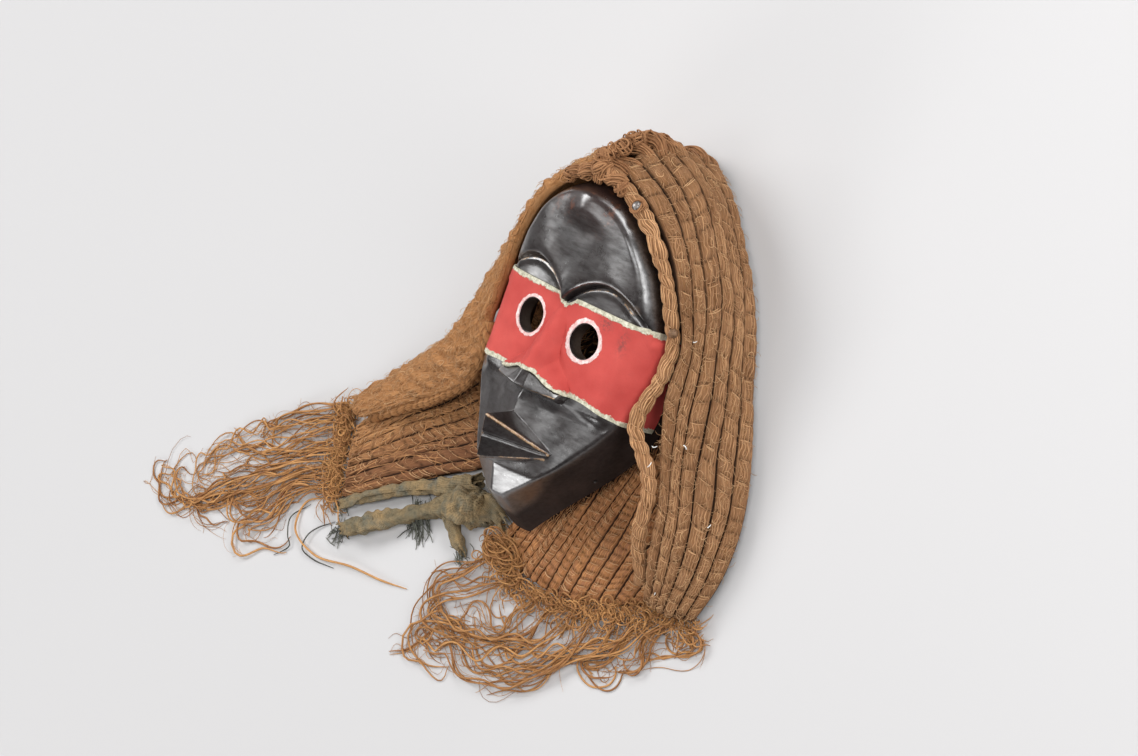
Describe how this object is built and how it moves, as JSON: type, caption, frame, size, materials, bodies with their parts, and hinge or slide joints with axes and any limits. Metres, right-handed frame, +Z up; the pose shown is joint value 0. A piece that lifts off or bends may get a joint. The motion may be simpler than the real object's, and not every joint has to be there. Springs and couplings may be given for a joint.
{
  "type": "carved wooden face mask with cord hood",
  "caption": "Carved wooden face mask with round eye holes, a red cloth eye band and a hood of wrapped fibre cords, lying face up.",
  "frame": {"origin": "on the table, under the middle of the mask between the eyes, on the flat underside of the hood", "axes": "+Z up out of the carved face, +Y from the chin to the forehead, +X towards the wearer's left side, on the right of the picture"},
  "size_m": [0.5674, 0.4266, 0.1097],
  "materials": {
    "carved_wood": "near-black brown, oiled and polished by handling",
    "red_cloth": "faded red woven cotton, glued on, with pale painted edges",
    "hood_cord": "dusty tan-brown plant fibre, wrapped and stitched",
    "loose_fibre": "golden brown raw plant fibre, curly",
    "rag_cloth": "worn blue-green and ochre cotton strip",
    "steel": "dull tack head",
    "rusty_iron": "brown rusty tack head"
  },
  "bodies": {
    "root": {"wooden_mask": "carved_wood", "red_eye_band": "red_cloth", "hood_right_side": "hood_cord", "hood_left_side": "hood_cord", "hood_right_back": "hood_cord", "hood_left_back": "hood_cord", "hood_edge_cord": "hood_cord", "crest_knots": "hood_cord", "left_fringe": "loose_fibre", "right_fringe": "loose_fibre", "cloth_strip": "rag_cloth", "steel_tack": "steel", "brown_tack": "rusty_iron"}
  },
  "joints": []
}
